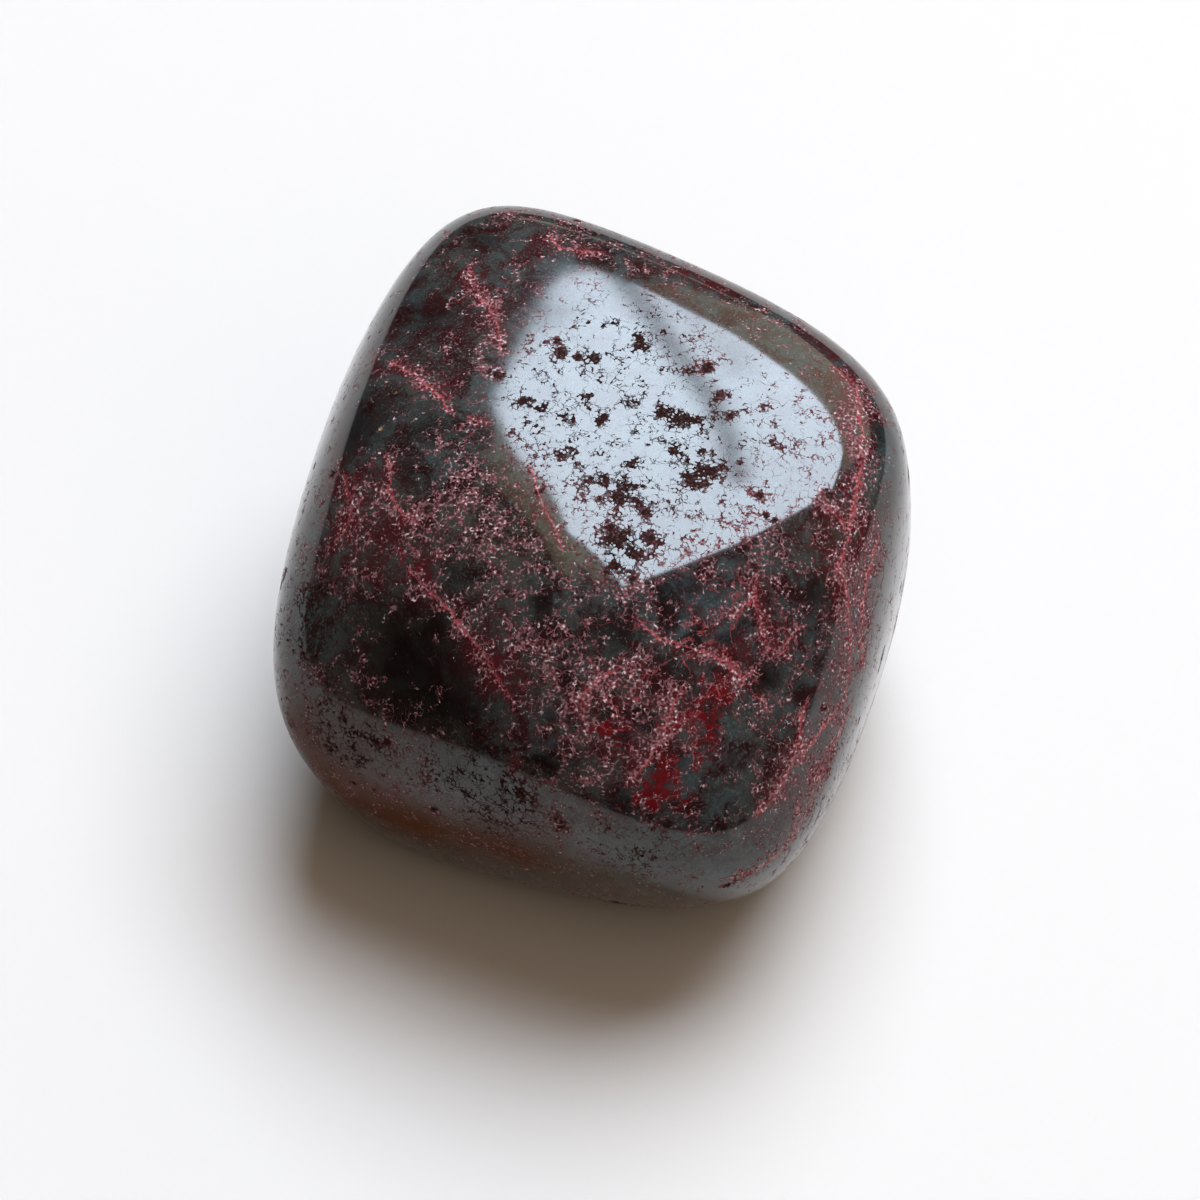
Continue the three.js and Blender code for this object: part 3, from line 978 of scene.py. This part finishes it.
# A rectangular lamp at a place, facing along minus its own third axis. Its power is the radiance
# that it should show, times its area, times pi.
def hangLamp(name, place, axes, size, colour, radiance):
    light = bpy.data.lights.new(name, "AREA")
    light.shape = "RECTANGLE"
    light.size, light.size_y = size
    light.color = linear(colour)[:3]
    light.energy = radiance * size[0] * size[1] * np.pi
    lamp = bpy.data.objects.new(name, light)
    lamp.matrix_world = Matrix.Translation(place.tolist()) @ Matrix(np.column_stack(axes).tolist()).to_4x4()
    lamp.visible_camera = False
    bpy.context.scene.collection.objects.link(lamp)
    return lamp


# Level and upright unit vectors of a plane that looks back along a direction.
def planeAxes(look):
    level = np.cross((0, 0, 1), look)
    level = level / np.linalg.norm(level)
    return level, np.cross(look, level)


# A flat sheet just in front of the window, turned in its plane: half its size each way. It hides
# what is behind it, and may glow a little as a lit wall does.
def hangScreen(name, screen, target, look):
    level, upright = planeAxes(look)
    turn = np.radians(screen["turn"])
    along = np.cos(turn) * level + np.sin(turn) * upright
    across = np.cross(look, along)
    long, wide = np.array(screen["size"]) / 2
    middle = look + screen["level"] * level + screen["upright"] * upright
    steps = ((-long, -wide), (long, -wide), (long, wide), (-long, wide))
    places = [middle + x * along + y * across for x, y in steps]
    corners = target + screen["depth"] * np.array(places)
    sheet = makeMesh(name, corners / mm, np.array([[0, 1, 2, 3]]))
    paper = mattPaper({**studioFloor, "colour": screen["colour"]})
    shader = paper.node_tree.nodes["Principled BSDF"]
    shader.inputs["Emission Color"].default_value = linear(screen["colour"])
    shader.inputs["Emission Strength"].default_value = screen["glow"]
    sheet.data.materials.append(paper)
    sheet.visible_camera = False


# Lamps and screens on the window's plane, a fill that mirrors nowhere, and a dark room round them.
def lightStudio(studio):
    target = heart * mm
    look = lookOf(*studio["look"])
    level, upright = planeAxes(look)
    turn = np.radians(studio["turn"])
    along = np.cos(turn) * level + np.sin(turn) * upright
    across = np.sin(turn) * level - np.cos(turn) * upright
    for name, row in studio["lamps"].items():
        place = target + look + row["along"] * along + row["across"] * across
        hangLamp(name, place, [along, -across, look], row["size"], row["colour"], row["radiance"])
    for name, screen in studio["screens"].items():
        hangScreen(name, screen, target, look)
    fill = studio["fill"]
    fillLook = lookOf(*fill["look"])
    place = target + fill["depth"] * fillLook
    axes = [*planeAxes(fillLook), fillLook]
    lamp = hangLamp("fill", place, axes, fill["size"], studio["fillColour"], studio["fillRadiance"])
    lamp.visible_glossy = False
    world = bpy.data.worlds.new("room")
    world.use_nodes = True
    world.node_tree.nodes["Background"].inputs["Color"].default_value = linear(studio["room"])
    bpy.context.scene.world = world
    bpy.context.scene.view_settings.view_transform = "Standard"


lightStudio(studioLight)
print("studio lit")
